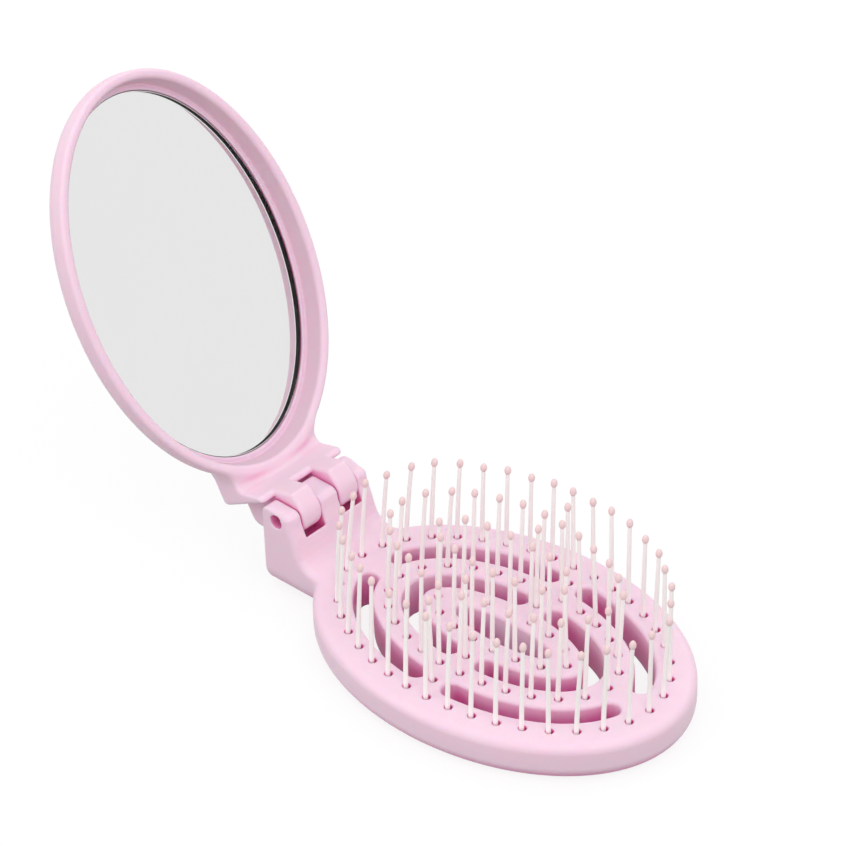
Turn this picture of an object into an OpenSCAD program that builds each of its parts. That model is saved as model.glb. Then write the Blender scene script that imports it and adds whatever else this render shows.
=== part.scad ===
// Folding pocket hairbrush with a mirror, shown open.
// Millimetres, +Z up. The origin lies on the flat underside, straight below the middle of the
// hinge axis. +X runs from the hinge to the free end of the brush, and the hinge axis lies along Y.

/* [Oval halves] */
// Length of the brush head, and of the mirror frame that closes over it
oval_l = 86; // [80:0.5:100]
// Width of the brush head and of the mirror frame
oval_w = 60.2; // [57:0.2:72]

/* [Brush head] */
// Thickness of the brush head
head_t = 8.6; // [7.6:0.1:12]
// Thickness of the face plate that the pins come through
face_t = 2; // [1.4:0.1:2.6]
// Rounding of the upper edge of the head
top_edge_r = 2; // [1:0.1:3]
// Rounding of the lower edge of the head
foot_edge_r = 3.4; // [2:0.1:3.5]
// Thickness of the outer wall of the head at its underside
head_wall = 3.6; // [3:0.1:4]
// Thickness of the back cover
cover_t = 1.6; // [1:0.1:2.4]
// Gap round the edge of the back cover and of the pin strips
seat_gap = 0.15; // [0.1:0.05:0.25]

/* [Vents] */
// Width of the vent slots
vent_w = 4; // [3:0.1:4.4]
// Thickness of the walls round the vents
vent_wall = 0.9; // [0.7:0.1:1.1]
// Width of the bridges between the ends of the slots
bridge_w = 5.1; // [4.6:0.1:6.5]
// Length of the oval vent in the middle
centre_vent_l = 24.3; // [20:0.1:26]
// Width of the oval vent in the middle
centre_vent_w = 6.3; // [5:0.1:6.8]

/* [Pins] */
// Distance from the edge of the head to the outer ring of pins
ring_inset = 5.2; // [5:0.1:5.5]
// Length of the inner ring of pins
inner_ring_l = 34; // [32.5:0.5:36]
// Width of the inner ring of pins
inner_ring_w = 11.4; // [11:0.1:12]
// Pins in the outer ring
outer_pins = 38; // [22:4:42]
// Pins in the middle ring
middle_pins = 26; // [14:4:30]
// Pins in the inner ring
inner_pins = 14; // [10:4:18]
// Height of the pins above the face, with their tips
pin_h = 18.4; // [12:0.1:18.8]
// Diameter of a pin at its foot
pin_foot_d = 0.84; // [0.7:0.02:1.1]
// Diameter of a pin under its tip
pin_d = 0.66; // [0.5:0.02:0.68]
// Diameter of the hole that a pin comes through
pin_hole_d = 1.6; // [1.3:0.05:1.8]
// Diameter of a pin's tip
tip_d = 1.4; // [1.1:0.05:1.8]
// Height of a pin's tip
tip_h = 1.95; // [1.5:0.05:2.6]
// Thickness of the strips that the pins grow from
strip_t = 1.5; // [1:0.1:2]

/* [Hinge] */
// Distance from the hinge axis to the near end of the oval head
block_l = 7.2; // [6.6:0.1:10]
// Height of the hinge axis above the underside of the head
axis_z = 17.5; // [17:0.1:21]
// Angle from the brush head to the mirror frame
open_angle = 117.8; // [0:0.1:130]
// Width of the hinge, from ear to ear
hinge_w = 23.6; // [20:0.1:26]
// Width of each outer ear
ear_w = 3.65; // [2.6:0.05:4.2]
// Width of the middle ear
mid_ear_w = 5.1; // [3.5:0.1:6]
// Gap at each side of a knuckle
knuckle_gap = 0.15; // [0.1:0.05:0.3]
// Outer radius of the two knuckles
knuckle_r = 4.5; // [3.9:0.1:4.6]
// Distance from the hinge axis to the corner in front of a knuckle
lug_l = 4.3; // [4:0.1:4.6]
// Depth of that corner below the hinge axis when the brush is closed
lug_drop = 3.6; // [3.3:0.1:3.9]
// Gap between a knuckle's corner and the hollow that it turns in
hollow_gap = 0.6; // [0.4:0.1:0.8]
// Diameter of the hinge pin
hinge_pin_d = 3; // [2:0.1:3.6]
// Radial gap round the hinge pin in the two knuckles
knuckle_bore_gap = 0.06; // [0.03:0.01:0.1]
// Radial gap round the hinge pin in the ears
ear_bore_gap = 0.02; // [0.01:0.01:0.05]
// Depth of the hinge pin's ends below the outer faces of the ears
pin_recess = 2.2; // [0.6:0.1:2.4]
// Distance from the hinge axis to the back face of the hinge block
block_back = 3.9; // [3.5:0.1:4.2]
// Rounding of the upright corners of the hinge block
block_corner_r = 1.5; // [0.6:0.1:2.2]
// Rounding of the lower back edge of the hinge block
block_foot_r = 0.8; // [0.4:0.1:1.5]
// Rounding of the two lower side edges of the hinge block
block_side_r = 5.2; // [2:0.1:6]
// Rounding where the hinge block and the neck run into the ovals
blend_r = 2.5; // [1:0.1:5]

/* [Mirror] */
// Depth of the mirror frame from its rim to its back
frame_t = 7.7; // [7.6:0.1:11]
// Height of the frame's rim above the hinge axis when the brush is closed
rim_lift = 7.2; // [6.6:0.1:9]
// Distance from the hinge axis to the near end of the mirror frame
neck_l = 7.6; // [7:0.1:10.4]
// Width of the frame's rim
rim_w = 2; // [1.6:0.1:2.4]
// Rounding of the rim
rim_r = 0.8; // [0.3:0.1:0.8]
// Rounding of the frame's back edge
back_edge_r = 4.4; // [2:0.1:4.6]
// Narrowing of the recess from the rim down to the ledge, on each side
recess_taper = 0.7; // [0.2:0.1:1]
// Depth of the ledge round the glass, below the rim
ledge_depth = 4.5; // [3.5:0.1:4.6]
// Depth of the face of the glass below the rim
glass_depth = 4.9; // [4.7:0.1:5.1]
// Length of the mirror glass
glass_l = 77.8; // [72:0.1:79]
// Width of the mirror glass
glass_w = 52.6; // [48:0.1:53.6]
// Thickness of the mirror glass
glass_t = 1.5; // [1.2:0.1:1.6]
// Gap round the edge of the glass
glass_gap = 0.15; // [0.1:0.05:0.25]
// Thickness of the adhesive pad behind the glass
pad_t = 0.4; // [0.2:0.05:0.6]
// Distance from the edge of the glass to the edge of the pad
pad_inset = 3; // [1:0.5:8]
// Depth of the back of the neck below the rim
neck_t = 4.2; // [4:0.1:7.6]
// Depth of the front of the neck below the rim
rim_step = 0.8; // [0.3:0.1:1.5]

/* [Hidden] */
$fn = 128;

shell_pink = "#f0c9dc";
nylon_white = "#f7f0ea";
tip_pink = "#f3d3d2";
over = 1;
eps = 0.01;

oval = [oval_l / 2, oval_w / 2];
head_reach = block_l + oval.x;
frame_reach = neck_l + oval.x;
plate_z = head_t - face_t;
well = oval - [head_wall, head_wall];

// Five lines run round the head, one inside the other: pins stand on lines 0, 2 and 4,
// and vents lie on lines 1 and 3.
outer_line = oval - [ring_inset, ring_inset];
inner_line = [inner_ring_l, inner_ring_w] / 2;
function line(j) = outer_line + (inner_line - outer_line) * j / 4;
half_vent = vent_w / 2;
vent_end = bridge_w / 2 + half_vent;
centre_vent = [centre_vent_l, centre_vent_w] / 2;
vent_skin = half_vent + vent_wall;

ring_pins = [outer_pins, middle_pins, inner_pins];
stem_top = head_t + pin_h - tip_h;
strip_z = plate_z - strip_t;
tab_w = bridge_w - 2 * (vent_wall + 2 * seat_gap);

knuckle_w = (hinge_w - 2 * ear_w - mid_ear_w - 4 * knuckle_gap) / 2;
knuckle_y = mid_ear_w / 2 + knuckle_gap + knuckle_w / 2;
slot_w = knuckle_w + 2 * knuckle_gap;
pin_r = hinge_pin_d / 2;
rib_w = 2;

// Where the straight sides of the hinge block and the neck run into the oval
side_end = oval.x * (1 - sqrt(1 - pow(hinge_w / oval_w, 2)));

// Rounding of the ears at the top, and of the hollow where they run out over the head
ear_back_r = 1.7;
ear_front_r = 2.1;
ear_foot_r = 3;

// Over the ears the neck starts this far from the hinge axis, and this far above it
ear_reach = 4.4;
notch_lift = 2.4;

// The rounded corner in front of each knuckle, and how far it reaches from the axis
lug_r = 0.7;
lug = [lug_l - lug_r, lug_r - lug_drop];
knuckle_reach = norm(lug) + lug_r;

// The heel behind each knuckle comes down along the back of the hinge block
widest_angle = 130;
heel_l = 7.6;
heel_r = 3;
valley_l = 0.6;

// Points along an arc, from one angle to another
function arc(centre, r, from, to, steps = 6) =
    [for (k = [0 : steps]) centre + r * [cos(from + (to - from) * k / steps), sin(from + (to - from) * k / steps)]];

// A point on an ellipse, its outward normal, and the angle at which it reaches a given x or y
function on_ellipse(e, t) = [e.x * cos(t), e.y * sin(t)];
function normal(e, t) = let (n = [e.y * cos(t), e.x * sin(t)]) n / norm(n);
function angle_at_x(e, x) = acos(x / e.x);
function angle_at_y(e, y) = asin(y / e.y);

// Pins stand at equal steps along their ellipse, so its length is added up degree by degree.
function chord(e, t) = norm(on_ellipse(e, t) - on_ellipse(e, t - 1));
function lengths(e) = [for (t = 0, s = 0; t <= 360; t = t + 1, s = s + chord(e, t)) [s, t]];
function ring_points(e, count) =
    let (table = lengths(e), round_trip = table[360][0])
    [for (k = [0 : count - 1]) on_ellipse(e, lookup(round_trip * k / count, table))];
function bridge_points(j) = [[0, line(j).y], [0, -line(j).y]];
function pins_of(r) =
    concat(ring_points(line(2 * r), ring_pins[r]), r < 2 ? bridge_points(2 * r + 1) : []);
all_pins = concat(pins_of(0), pins_of(1), pins_of(2));

module ellipse(e) {
    scale([1, e.y / e.x]) circle(r = e.x);
}

module band(outside, inside) {
    difference() {
        ellipse(outside);
        ellipse(inside);
    }
}

// A solid of revolution drawn out to an ellipse, from a profile whose outer radius is e.x
module oval_turned(e) {
    scale([1, e.y / e.x, 1]) rotate_extrude() children();
}

// One slot that follows line j between two angles, with round ends, grown by g on every side
module slot(j, from, to, g = 0) {
    e = line(j);
    w = half_vent + g;
    p = on_ellipse(e, from);
    q = on_ellipse(e, to);
    across = 2 * w;
    corner = [2 * e.x, 2 * e.y];
    intersection() {
        band(e + [w, w], e - [w, w]);
        polygon([p - across * normal(e, from), p + across * normal(e, from),
            [corner.x, p.y + across * normal(e, from).y], corner,
            [q.x + across * normal(e, to).x, corner.y],
            q + across * normal(e, to), q - across * normal(e, to)]);
    }
    translate(p) circle(r = w);
    translate(q) circle(r = w);
}

module outer_slots(g) {
    for (mx = [0, 1], my = [0, 1]) mirror([mx, 0]) mirror([0, my])
        slot(1, angle_at_y(line(1), vent_end), angle_at_x(line(1), vent_end), g);
}

// The middle slots are each two quarters that meet at the end of the oval.
module middle_slots(g) {
    for (mx = [0, 1], my = [0, 1]) mirror([mx, 0]) mirror([0, my])
        slot(3, 0, angle_at_x(line(3), vent_end), g);
}

module vents(g = 0) {
    outer_slots(g);
    middle_slots(g);
    ellipse(centre_vent + [g, g]);
}

// ---- Brush head ----

// Plan of the concave blend between a straight side at y = w and the oval
module blend_plan(w) {
    grown = oval + [blend_r, blend_r];
    sine = (w + blend_r) / grown.y;
    cosine = sqrt(1 - sine * sine);
    middle = [-grown.x * cosine, w + blend_r];
    touch = [-oval.x * cosine, oval.y * sine];
    difference() {
        polygon([[middle.x, w - over], middle, touch, [touch.x + over, w - over]]);
        translate(middle) circle(r = blend_r);
    }
}

module head_profile() {
    difference() {
        square([oval.x, head_t]);
        translate([oval.x - foot_edge_r, 0]) difference() {
            translate([0, -over]) square([foot_edge_r + over, foot_edge_r + over]);
            translate([0, foot_edge_r]) circle(r = foot_edge_r);
        }
        translate([oval.x - top_edge_r, head_t - top_edge_r]) difference() {
            square([top_edge_r + over, top_edge_r + over]);
            circle(r = top_edge_r);
        }
    }
}

// Side view of the ears, from the hinge axis
ear_outline = concat(
    arc([block_foot_r - block_back, block_foot_r - axis_z], block_foot_r, 270, 180),
    arc([ear_back_r - block_back, 0.9], ear_back_r, 180, 95),
    arc([1.9, 0.4], ear_front_r, 85, 30),
    [[4.1, -0.4], [5.1, -2.9], [5.9, -6.2]],
    arc([block_l + 1.5, head_t - axis_z + 1.1 * ear_foot_r], ear_foot_r, 195, 262),
    [[block_l + side_end + over, head_t - axis_z - eps], [block_l + side_end + over, -axis_z]]);

module block_side() {
    polygon(ear_outline);
}

module block_plan() {
    w = hinge_w / 2;
    back = -block_back;
    front = block_l + side_end + over;
    translate([back + block_corner_r, -w]) square([front - back - block_corner_r, hinge_w]);
    translate([back, block_corner_r - w]) square([block_corner_r + over, hinge_w - 2 * block_corner_r]);
    for (m = [0, 1]) mirror([0, m]) {
        translate([back + block_corner_r, w - block_corner_r]) circle(r = block_corner_r);
    }
}

// Front view of the block, with its two lower side edges rounded
module block_front() {
    w = hinge_w / 2;
    r = block_side_r;
    top = axis_z + knuckle_r;
    translate([-w, r]) square([hinge_w, top - r]);
    translate([r - w, 0]) square([hinge_w - 2 * r, top]);
    for (m = [0, 1]) mirror([m, 0]) translate([w - r, r]) circle(r = r);
}

module hinge_block() {
    w = hinge_w / 2;
    intersection() {
        translate([0, w + over, axis_z]) rotate([90, 0, 0]) linear_extrude(hinge_w + 2 * over) block_side();
        linear_extrude(axis_z + knuckle_r) block_plan();
        translate([head_reach, 0, 0]) rotate([90, 0, -90])
            linear_extrude(head_reach + 2 * block_back) block_front();
    }
    translate([head_reach, 0, foot_edge_r]) linear_extrude(head_t - top_edge_r - foot_edge_r)
        for (m = [0, 1]) mirror([0, m]) blend_plan(w);
}

// Puts what is drawn round the middle of the brush head in its place
module on_head() {
    translate([head_reach, 0, 0]) children();
}

module head_shell() {
    color(shell_pink) difference() {
        union() {
            on_head() oval_turned(oval) head_profile();
            hinge_block();
        }
        on_head() {
            translate([0, 0, -over]) difference() {
                linear_extrude(plate_z + over) ellipse(well);
                linear_extrude(plate_z + 2 * over) vents(vent_wall);
            }
            translate([0, 0, -over]) linear_extrude(head_t + 2 * over) vents();
            for (p = all_pins) translate([p.x, p.y, plate_z - over])
                cylinder(d = pin_hole_d, h = face_t + 2 * over, $fn = 24);
        }
        knuckle_slots();
        hinge_bore(pin_r + ear_bore_gap);
    }
}

// Each slot is hollowed round the axis, and open above it and behind it.
module knuckle_slots() {
    r = knuckle_reach + hollow_gap;
    for (s = [-1, 1]) translate([0, s * knuckle_y, axis_z]) {
        rotate([90, 0, 0]) cylinder(r = r, h = slot_w, center = true);
        translate([-2 * r, -slot_w / 2, 0]) cube([4 * r, slot_w, 4 * r]);
        translate([-2 * r, -slot_w / 2, -r]) cube([2 * r, slot_w, 4 * r]);
    }
}

module hinge_bore(r) {
    translate([0, 0, axis_z]) rotate([90, 0, 0]) cylinder(r = r, h = hinge_w + 2 * over, center = true);
}

module head_back() {
    color(shell_pink) on_head() difference() {
        union() {
            linear_extrude(cover_t) ellipse(well - [seat_gap, seat_gap]);
            for (r = [0 : 2]) translate([0, 0, cover_t - eps]) linear_extrude(strip_z - cover_t + eps)
                band(line(2 * r) + [rib_w, rib_w] / 2, line(2 * r) - [rib_w, rib_w] / 2);
        }
        translate([0, 0, -over]) linear_extrude(head_t) vents(vent_wall + seat_gap);
    }
}

// ---- Pins ----

// Each strip fills its channel under the face plate, and its pins come up through the plate.
module strip_plan(r) {
    g = 2 * seat_gap;
    outside = r == 0 ? well : line(2 * r - 1) - [vent_skin, vent_skin];
    inside = r == 2 ? centre_vent + [vent_wall, vent_wall] : line(2 * r + 1) + [vent_skin, vent_skin];
    band(outside - [g, g], inside + [g, g]);
    if (r < 2) for (m = [0, 1]) mirror([0, m])
        translate([-tab_w / 2, line(2 * r + 1).y - tab_w / 2])
            square([tab_w, line(2 * r).y - line(2 * r + 1).y + tab_w / 2]);
}

module pin_strip(r) {
    color(nylon_white) on_head() {
        translate([0, 0, strip_z]) linear_extrude(strip_t) strip_plan(r);
        for (p = pins_of(r)) translate([p.x, p.y, plate_z - eps])
            cylinder(d1 = pin_foot_d, d2 = pin_d, h = stem_top - plate_z + eps, $fn = 24);
    }
}

// An egg-shaped bead, cut flat underneath where the pin ends in it
module pin_tips(r) {
    flat = tip_h / 2 * sqrt(1 - pow(pin_d / tip_d, 2));
    color(tip_pink) on_head() for (p = pins_of(r)) translate([p.x, p.y, stem_top + flat]) difference() {
        scale([1, 1, tip_h / tip_d]) sphere(d = tip_d, $fn = 24);
        translate([0, 0, -flat - tip_h]) cylinder(d = 2 * tip_d, h = tip_h);
    }
}

module outer_pin_strip() { pin_strip(0); }
module middle_pin_strip() { pin_strip(1); }
module inner_pin_strip() { pin_strip(2); }
module outer_pin_tips() { pin_tips(0); }
module middle_pin_tips() { pin_tips(1); }
module inner_pin_tips() { pin_tips(2); }

module hinge_pin() {
    length = hinge_w - 2 * pin_recess;
    color("silver") translate([0, 0, axis_z]) rotate([90, 0, 0])
        cylinder(r = pin_r, h = length, center = true);
}

// ---- Mirror half, drawn closed over the brush with the hinge axis at x = 0 and z = 0 ----

module opened() {
    translate([0, 0, axis_z]) rotate([0, -open_angle, 0]) children();
}

module frame_profile() {
    edge = [oval.x, rim_lift + frame_t] - [back_edge_r, back_edge_r];
    translate([0, rim_lift + rim_r]) square([oval.x, frame_t - rim_r - back_edge_r]);
    translate([0, rim_lift]) square([oval.x - rim_r, rim_r + over]);
    translate([oval.x - rim_r, rim_lift + rim_r]) circle(r = rim_r);
    translate([0, edge.y - eps]) square([edge.x, back_edge_r + eps]);
    intersection() {
        translate(edge) circle(r = back_edge_r);
        translate(edge - [over, over]) square(back_edge_r + over);
    }
}

// The recess flares out over the rounded rim, and narrows down to the ledge.
module recess_profile() {
    mouth = oval.x - rim_w;
    polygon(concat(
        [[0, rim_lift - over], [mouth + rim_r, rim_lift - over]],
        arc([mouth + rim_r, rim_lift + rim_r], rim_r, 270, 180),
        [[mouth - recess_taper, rim_lift + ledge_depth], [0, rim_lift + ledge_depth]]));
}

module glass_pocket() {
    pocket = [glass_l, glass_w] / 2 + [glass_gap, glass_gap];
    translate([0, 0, rim_lift + ledge_depth - over])
        linear_extrude(glass_depth - ledge_depth + glass_t + pad_t + over) ellipse(pocket);
}

// Side view of a knuckle and the neck above it. The front runs from the knuckle round its corner
// and up to a valley along the rim. The heel at the back lies along the hinge block's back face
// when the mirror is opened as far as it goes.
module knuckle_side() {
    under = atan2(lug.y, lug.x) - acos((knuckle_r - lug_r) / norm(lug));
    stop = 180 - widest_angle;
    rest_on = knuckle_r * [cos(stop), sin(stop)];
    heel = rest_on + heel_l * [-sin(stop), cos(stop)];
    front = rim_lift + rim_step;
    back = rim_lift + neck_t;
    r = min(heel_r, back - heel.y);
    far_end = neck_l + side_end + over;
    circle(r = knuckle_r);
    polygon(concat(
        [[0, 0], knuckle_r * [cos(under), sin(under)]],
        arc(lug, lug_r, under, -14),
        [[neck_l - valley_l, front], [far_end, front], [far_end, back]],
        arc([heel.x + r, back - r], r, 90, 180),
        [heel, rest_on]));
}

module neck() {
    w = hinge_w / 2;
    intersection() {
        translate([0, w + over, 0]) rotate([90, 0, 0]) linear_extrude(hinge_w + 2 * over) knuckle_side();
        translate([0, 0, -2 * knuckle_r]) linear_extrude(4 * knuckle_r + frame_t + rim_lift) neck_plan();
    }
}

module neck_plan() {
    w = hinge_w / 2;
    translate([-2 * knuckle_r, -w]) square([neck_l + side_end + over + 2 * knuckle_r, hinge_w]);
    translate([frame_reach, 0]) for (m = [0, 1]) mirror([0, m]) blend_plan(w);
}

// Side view of what the neck leaves free over an ear
module notch_side() {
    far = ear_reach + 3 * knuckle_r;
    polygon([[-far, -far], [far, -far], [far, notch_lift], [ear_reach, notch_lift],
        [ear_reach, far], [-far, far]]);
}

module ear_notch(from, to) {
    translate([0, to, 0]) rotate([90, 0, 0]) linear_extrude(to - from) notch_side();
}

module ear_notches() {
    outer = hinge_w / 2;
    inner = outer - ear_w - knuckle_gap;
    centre = mid_ear_w / 2 + knuckle_gap;
    ear_notch(-outer - over, -inner);
    ear_notch(-centre, centre);
    ear_notch(inner, outer + over);
}

module mirror_frame() {
    color(shell_pink) opened() difference() {
        union() {
            translate([frame_reach, 0, 0]) oval_turned(oval) frame_profile();
            neck();
        }
        translate([frame_reach, 0, 0]) {
            oval_turned(oval - [rim_w, rim_w]) recess_profile();
            glass_pocket();
        }
        ear_notches();
        rotate([90, 0, 0]) cylinder(r = pin_r + knuckle_bore_gap, h = hinge_w + 2 * over, center = true);
    }
}

module mirror_glass() {
    color("lightgray") opened() translate([frame_reach, 0, rim_lift + glass_depth])
        linear_extrude(glass_t) ellipse([glass_l, glass_w] / 2);
}

module mirror_pad() {
    color("dimgray") opened() translate([frame_reach, 0, rim_lift + glass_depth + glass_t])
        linear_extrude(pad_t) ellipse([glass_l, glass_w] / 2 - [pad_inset, pad_inset]);
}

head_shell();
head_back();
outer_pin_strip();
middle_pin_strip();
inner_pin_strip();
outer_pin_tips();
middle_pin_tips();
inner_pin_tips();
hinge_pin();
mirror_frame();
mirror_glass();
mirror_pad();
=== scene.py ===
"""Looks of a folding pocket hairbrush with a mirror, built round its packed frame."""
import math

import bpy
import numpy as np
from bpy.props import FloatProperty, FloatVectorProperty, IntProperty, PointerProperty
from mathutils import Matrix, Vector


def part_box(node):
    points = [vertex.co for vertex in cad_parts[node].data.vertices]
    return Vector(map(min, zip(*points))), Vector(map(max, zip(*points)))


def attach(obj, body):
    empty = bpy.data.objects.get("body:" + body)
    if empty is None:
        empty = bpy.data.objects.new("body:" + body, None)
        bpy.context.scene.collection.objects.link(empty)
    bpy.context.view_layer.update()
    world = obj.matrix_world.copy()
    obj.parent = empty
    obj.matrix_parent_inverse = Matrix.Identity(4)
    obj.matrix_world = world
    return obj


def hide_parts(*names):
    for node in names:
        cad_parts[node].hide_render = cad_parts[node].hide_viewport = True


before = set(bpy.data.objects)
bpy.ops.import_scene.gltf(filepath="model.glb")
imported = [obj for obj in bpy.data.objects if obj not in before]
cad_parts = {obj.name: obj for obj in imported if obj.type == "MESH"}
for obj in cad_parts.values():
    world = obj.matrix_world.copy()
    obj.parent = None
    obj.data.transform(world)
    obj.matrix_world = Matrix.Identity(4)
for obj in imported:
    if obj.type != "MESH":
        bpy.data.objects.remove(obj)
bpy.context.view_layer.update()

bl_info = {
    "name": "Folding Hairbrush with Mirror",
    "version": (1, 0, 0),
    "blender": (4, 5, 0),
    "location": "3D View > Sidebar > Hairbrush",
    "description": "Builds a folding oval hairbrush whose lid is a mirror, and a white studio for it",
    "category": "Add Mesh",
}

MM = 0.001
HEAD_LOW, HEAD_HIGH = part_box("head_shell")
HINGE_PIN_LOW, HINGE_PIN_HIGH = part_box("hinge_pin")
AXIS_HEIGHT = (HINGE_PIN_LOW.z + HINGE_PIN_HIGH.z) / 2
NEAR_END = 7.2 * MM
RINGS = ("outer", "middle", "inner")
# Side view of the front of the hinge ears, from the axis and down into the head, in millimetres.
EAR_FRONT = ((4.1, -0.4), (5.1, -2.9), (5.9, -5.5), (6.5, -6.9), (7.4, -7.9), (8.6, -8.5),
             (10.4, -8.9), (13.5, -9.6))
# End of the hinge pin: shares of its radius, and how far the end has fallen off there, in millimetres.
PIN_END = ((0.45, 0), (0.75, 0.05), (0.93, 0.14), (1, 0.3))
# How far the tops of the pins are bent along X and along Y, in millimetres: the same for all, then
# in step with the place along and across the head, and then with the square of each.
PIN_BEND = ((-0.5, -0.5, 0.25, 1.6, -0.3), (1.3, -0.25, -0.5, -0.5, 0.3))
# Room left free round a moulded shape on its grid, in millimetres.
SPARE_ROOM = 0.9
# Share of its first faces that a moulded mesh keeps.
KEPT_FACES = 0.3
# Sides of each pin, bead and hinge rod, and of the oval glass.
PIN_SIDES, BEAD_SIDES, ROD_SIDES, GLASS_SIDES = 20, 24, 64, 360


def length(name, description, default):
    """A length in metres that shows in the sidebar in the scene's unit."""
    return FloatProperty(name=name, description=description, default=default, unit="LENGTH", precision=5)


def angle(name, description, degrees):
    """An angle that shows in the sidebar in degrees."""
    return FloatProperty(name=name, description=description, default=math.radians(degrees), subtype="ANGLE")


def number(name, description, default):
    """A plain number without a unit."""
    return FloatProperty(name=name, description=description, default=default)


def paint(name, description, red, green, blue):
    """A colour given as it looks on a screen, from 0 to 255, and kept as light."""
    return FloatVectorProperty(name=name, description=description, subtype="COLOR", size=3, min=0, max=1,
                               default=tuple(to_light(c / 255) for c in (red, green, blue)))


def to_light(value):
    """The amount of light that a screen value from 0 to 1 stands for."""
    return value / 12.92 if value <= 0.04045 else ((value + 0.055) / 1.055) ** 2.4


# ---- Sizes, colours and studio ----

class HeadSizes(bpy.types.PropertyGroup):
    """Sizes of the brush head and its hinge block."""
    oval_length: length("Oval length", "Length of the oval head", HEAD_HIGH.x - NEAR_END)
    oval_width: length("Oval width", "Width of the oval head", HEAD_HIGH.y - HEAD_LOW.y)
    near_end: length("Near end", "Distance from the hinge axis to the oval", NEAR_END)
    thickness: length("Thickness", "Thickness of the head", 8.6 * MM)
    face: length("Face", "Thickness of the plate that the pins come through", 2 * MM)
    top_edge: length("Upper edge", "Rounding of the upper edge", 2 * MM)
    foot_edge: length("Lower edge", "Rounding of the lower edge", 3.4 * MM)
    wall: length("Wall", "Thickness of the outer wall", 3.6 * MM)
    vent_width: length("Vent width", "Width of the vent slots", 4 * MM)
    vent_wall: length("Vent wall", "Thickness of the walls round the vents", 0.9 * MM)
    bridge: length("Bridge", "Width of the bridges between the slots", 5.1 * MM)
    centre_length: length("Centre vent length", "Length of the oval vent in the middle", 24.3 * MM)
    centre_width: length("Centre vent width", "Width of the oval vent in the middle", 6.3 * MM)
    vent_edge: length("Vent edge", "Rounding of the upper rims of the vents", 0.9 * MM)
    vent_foot: length("Vent foot", "Rounding of the lower rims of the vents", 0.04 * MM)
    pin_hole: length("Pin hole", "Diameter of the holes round the pins", 1.6 * MM)
    cover: length("Cover", "Thickness of the back cover", 1.6 * MM)
    seat_gap: length("Seat gap", "Gap round the cover and the pin strips", 0.15 * MM)


class HingeSizes(bpy.types.PropertyGroup):
    """Sizes of the hinge between the head and the mirror."""
    width: length("Width", "Width from ear to ear", 23.6 * MM)
    ear: length("Ear", "Width of each outer ear", 3.65 * MM)
    middle_ear: length("Middle ear", "Width of the middle ear", 5.1 * MM)
    gap: length("Gap", "Gap at each side of a knuckle", 0.15 * MM)
    knuckle: length("Knuckle", "Outer radius of the knuckles", 4.5 * MM)
    lug: length("Lug", "Distance from the axis to the corner in front of a knuckle", 4.3 * MM)
    lug_drop: length("Lug drop", "Depth of that corner below the axis when folded", 3.6 * MM)
    lug_round: length("Lug rounding", "Rounding of that corner", 0.7 * MM)
    hollow: length("Hollow", "Gap between a knuckle and its hollow", 0.6 * MM)
    ear_reach: length("Ear reach", "Distance from the axis to the neck over the ears", 4.2 * MM)
    ear_lift: length("Ear lift", "Height of the neck over the ears above the axis when folded", 1.8 * MM)
    pin: length("Pin", "Diameter of the hinge pin", HINGE_PIN_HIGH.z - HINGE_PIN_LOW.z)
    bore_gap: length("Bore gap", "Gap round the hinge pin", 0.04 * MM)
    back: length("Back", "Distance from the axis to the back of the block", 3.9 * MM)
    block_side: length("Block side", "Rounding of the lower side edges of the block", 5.2 * MM)
    edge: length("Edge", "Rounding of the edges of the ears and the neck", 0.6 * MM)
    ear_round: length("Ear rounding", "Rounding between the front and the sides of the block", 1.7 * MM)
    head_blend: length("Head blend", "Rounding where the block runs into the head", 1.1 * MM)
    neck_blend: length("Neck blend", "Rounding where the neck runs into the frame", 2.2 * MM)
    widest: angle("Widest", "Angle at which the knuckles meet the block", 130)
    heel: length("Heel", "Length of the knuckle's stop face", 7.6 * MM)
    heel_round: length("Heel rounding", "Rounding of the knuckle's back edge", 3 * MM)
    heel_depth: length("Heel depth", "Depth of the knuckle's back below the rim", 5.2 * MM)
    valley_round: length("Valley rounding", "Rounding of the valley between the rim and the lug", 1.6 * MM)


class MirrorSizes(bpy.types.PropertyGroup):
    """Sizes of the mirror and its frame, drawn folded over the brush."""
    near_end: length("Near end", "Distance from the hinge axis to the frame's oval", 7.6 * MM)
    lift: length("Lift", "Height of the rim above the hinge axis when folded", 7.2 * MM)
    thickness: length("Thickness", "Depth of the frame from rim to back", 7.7 * MM)
    rim: length("Rim", "Width of the rim", 2 * MM)
    rim_round: length("Rim rounding", "Rounding of the rim", 0.8 * MM)
    back_edge: length("Back edge", "Rounding of the back edge", 5.1 * MM)
    taper: length("Taper", "Narrowing of the recess from rim to ledge", 0.7 * MM)
    ledge: length("Ledge", "Depth of the ledge round the glass", 4.5 * MM)
    neck: length("Neck", "Depth of the back of the neck below the rim", 7 * MM)
    rim_step: length("Rim step", "Depth of the front of the neck below the rim", 0.8 * MM)
    valley: length("Valley", "Width of the flat between the rim and the sloping knuckles", 0.6 * MM)
    opened: angle("Opening", "Angle from the folded to the opened mirror", 117.8)
    glass_depth: length("Glass depth", "Depth of the glass below the rim", 4.9 * MM)
    glass_length: length("Glass length", "Length of the mirror glass", 77.8 * MM)
    glass_width: length("Glass width", "Width of the mirror glass", 52.6 * MM)
    glass_thickness: length("Glass thickness", "Thickness of the mirror glass", 1.5 * MM)
    glass_gap: length("Glass gap", "Gap round the glass", 0.15 * MM)
    glass_bevel: length("Glass bevel", "Width of the ground edge of the glass", 0.15 * MM)
    pad: length("Pad", "Thickness of the adhesive pad", 0.4 * MM)


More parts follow.
